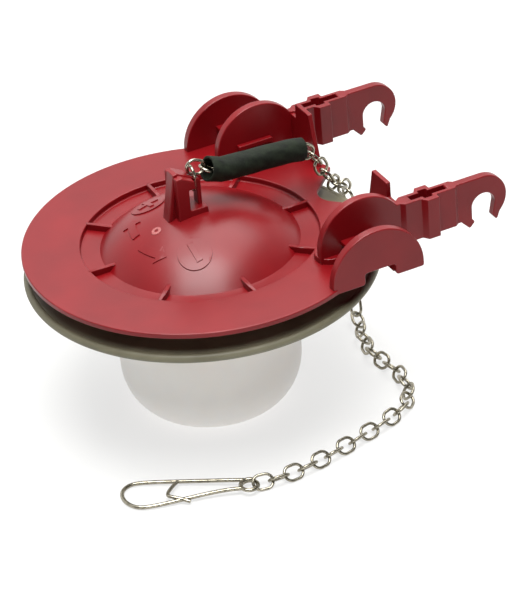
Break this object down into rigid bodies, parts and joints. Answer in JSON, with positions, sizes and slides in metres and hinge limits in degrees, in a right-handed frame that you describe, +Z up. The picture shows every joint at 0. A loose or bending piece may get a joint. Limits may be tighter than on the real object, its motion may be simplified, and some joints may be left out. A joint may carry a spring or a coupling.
{
  "type": "toilet flapper",
  "caption": "Round flapper with a domed disc, two hooked hinge arms, a flexible seal, a float cup below and a lift chain with a foam sleeve and a wire clip",
  "frame": {"origin": "Middle of the float cup's flat underside, on the cup's axis", "axes": "+Z up along the cup's axis; +Y from the disc towards the hooks; +X across the arms"},
  "size_m": [0.1061, 0.1351, 0.0805],
  "materials": {
    "frame_plastic": "moulded, satin",
    "seal_rubber": "soft, matt",
    "cup_plastic": "moulded, translucent white",
    "chain_steel": "nickel plated",
    "sleeve_foam": "closed-cell foam"
  },
  "bodies": {
    "frame_body": {"flapper_frame": "frame_plastic", "seal_disc": "seal_rubber", "chain_end_ring": "chain_steel", "chain_link_01": "chain_steel", "chain_link_02": "chain_steel", "chain_link_03": "chain_steel", "chain_link_04": "chain_steel", "chain_link_05": "chain_steel", "chain_link_06": "chain_steel", "chain_link_07": "chain_steel", "chain_link_08": "chain_steel", "chain_link_09": "chain_steel", "chain_link_10": "chain_steel", "chain_link_11": "chain_steel", "chain_link_12": "chain_steel", "chain_link_13": "chain_steel", "chain_link_14": "chain_steel", "chain_link_15": "chain_steel", "chain_link_16": "chain_steel", "chain_link_17": "chain_steel", "chain_link_18": "chain_steel", "chain_link_19": "chain_steel", "chain_link_20": "chain_steel", "chain_link_21": "chain_steel", "chain_link_22": "chain_steel", "chain_link_23": "chain_steel", "chain_link_24": "chain_steel", "chain_link_25": "chain_steel", "chain_link_26": "chain_steel", "chain_link_27": "chain_steel", "chain_link_28": "chain_steel", "chain_link_29": "chain_steel", "chain_link_30": "chain_steel", "chain_link_31": "chain_steel", "chain_link_32": "chain_steel", "chain_link_33": "chain_steel", "chain_link_34": "chain_steel", "chain_link_35": "chain_steel", "chain_link_36": "chain_steel", "chain_link_37": "chain_steel", "chain_link_38": "chain_steel", "chain_link_39": "chain_steel", "chain_link_40": "chain_steel", "chain_link_41": "chain_steel", "chain_link_42": "chain_steel", "chain_link_43": "chain_steel", "chain_link_44": "chain_steel", "chain_link_45": "chain_steel", "chain_link_46": "chain_steel", "chain_link_47": "chain_steel", "chain_sleeve": "sleeve_foam", "chain_clip": "chain_steel"},
    "cup_body": {"float_cup": "cup_plastic"}
  },
  "joints": [
    {"name": "cup_turn", "type": "hinge", "parent": "frame_body", "child": "cup_body", "pos_m": [0, 0, 0.0455], "axis": [0, 0, 1], "range_deg": [-55, 55]}
  ]
}
